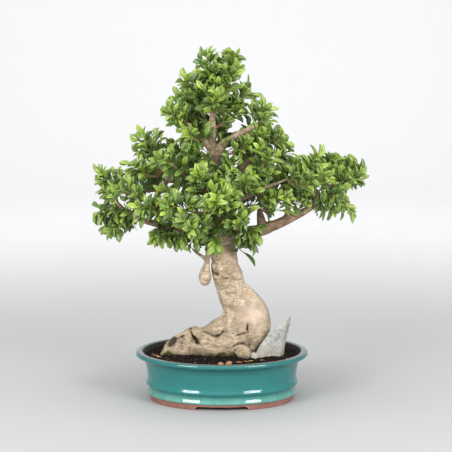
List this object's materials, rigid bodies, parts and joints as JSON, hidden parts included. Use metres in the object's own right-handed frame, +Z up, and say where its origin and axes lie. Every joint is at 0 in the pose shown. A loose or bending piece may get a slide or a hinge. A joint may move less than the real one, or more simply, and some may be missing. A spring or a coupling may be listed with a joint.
{
  "type": "chinese banyan bonsai",
  "caption": "Chinese banyan bonsai with a swollen leaning trunk, surface roots and layered leafy branches, in a teal glazed oval pot on low feet.",
  "frame": {"origin": "on the surface that the pot's feet stand on, under the middle of the whole outline's box", "axes": "+Z up; +X to the right along the pot's long side, with the tree seen from its front; -Y towards that viewer"},
  "size_m": [0.6326, 0.4358, 0.8221],
  "materials": {
    "teal_glaze": "gloss",
    "potting_soil": "matte",
    "bark": "matte",
    "grey_stone": "matte",
    "screen_mesh": "matte",
    "beige_pebble": "matte",
    "brown_pebble": "matte",
    "leaves": "satin"
  },
  "bodies": {
    "root": {"pot": "teal_glaze", "soil": "potting_soil", "trunk": "bark", "stone": "grey_stone", "drain_screen_left": "screen_mesh", "drain_screen_right": "screen_mesh", "pebble_1": "beige_pebble", "pebble_2": "brown_pebble", "spray_01": "leaves", "spray_02": "leaves", "spray_03": "leaves", "spray_04": "leaves", "spray_05": "leaves", "spray_06": "leaves", "spray_07": "leaves", "spray_08": "leaves", "spray_09": "leaves", "spray_10": "leaves", "spray_11": "leaves", "spray_12": "leaves", "spray_13": "leaves", "spray_14": "leaves", "spray_15": "leaves", "spray_16": "leaves", "spray_17": "leaves", "spray_18": "leaves", "spray_19": "leaves", "spray_20": "leaves", "spray_21": "leaves", "spray_22": "leaves", "spray_23": "leaves", "spray_24": "leaves", "spray_25": "leaves", "spray_26": "leaves", "spray_27": "leaves", "spray_28": "leaves", "spray_29": "leaves", "spray_30": "leaves", "spray_31": "leaves", "spray_32": "leaves", "spray_33": "leaves", "spray_34": "leaves", "spray_35": "leaves", "spray_36": "leaves", "spray_37": "leaves", "spray_38": "leaves", "spray_39": "leaves", "spray_40": "leaves", "spray_41": "leaves", "spray_42": "leaves", "spray_43": "leaves", "spray_44": "leaves", "spray_45": "leaves", "spray_46": "leaves", "spray_47": "leaves", "spray_48": "leaves", "spray_49": "leaves"}
  },
  "joints": []
}
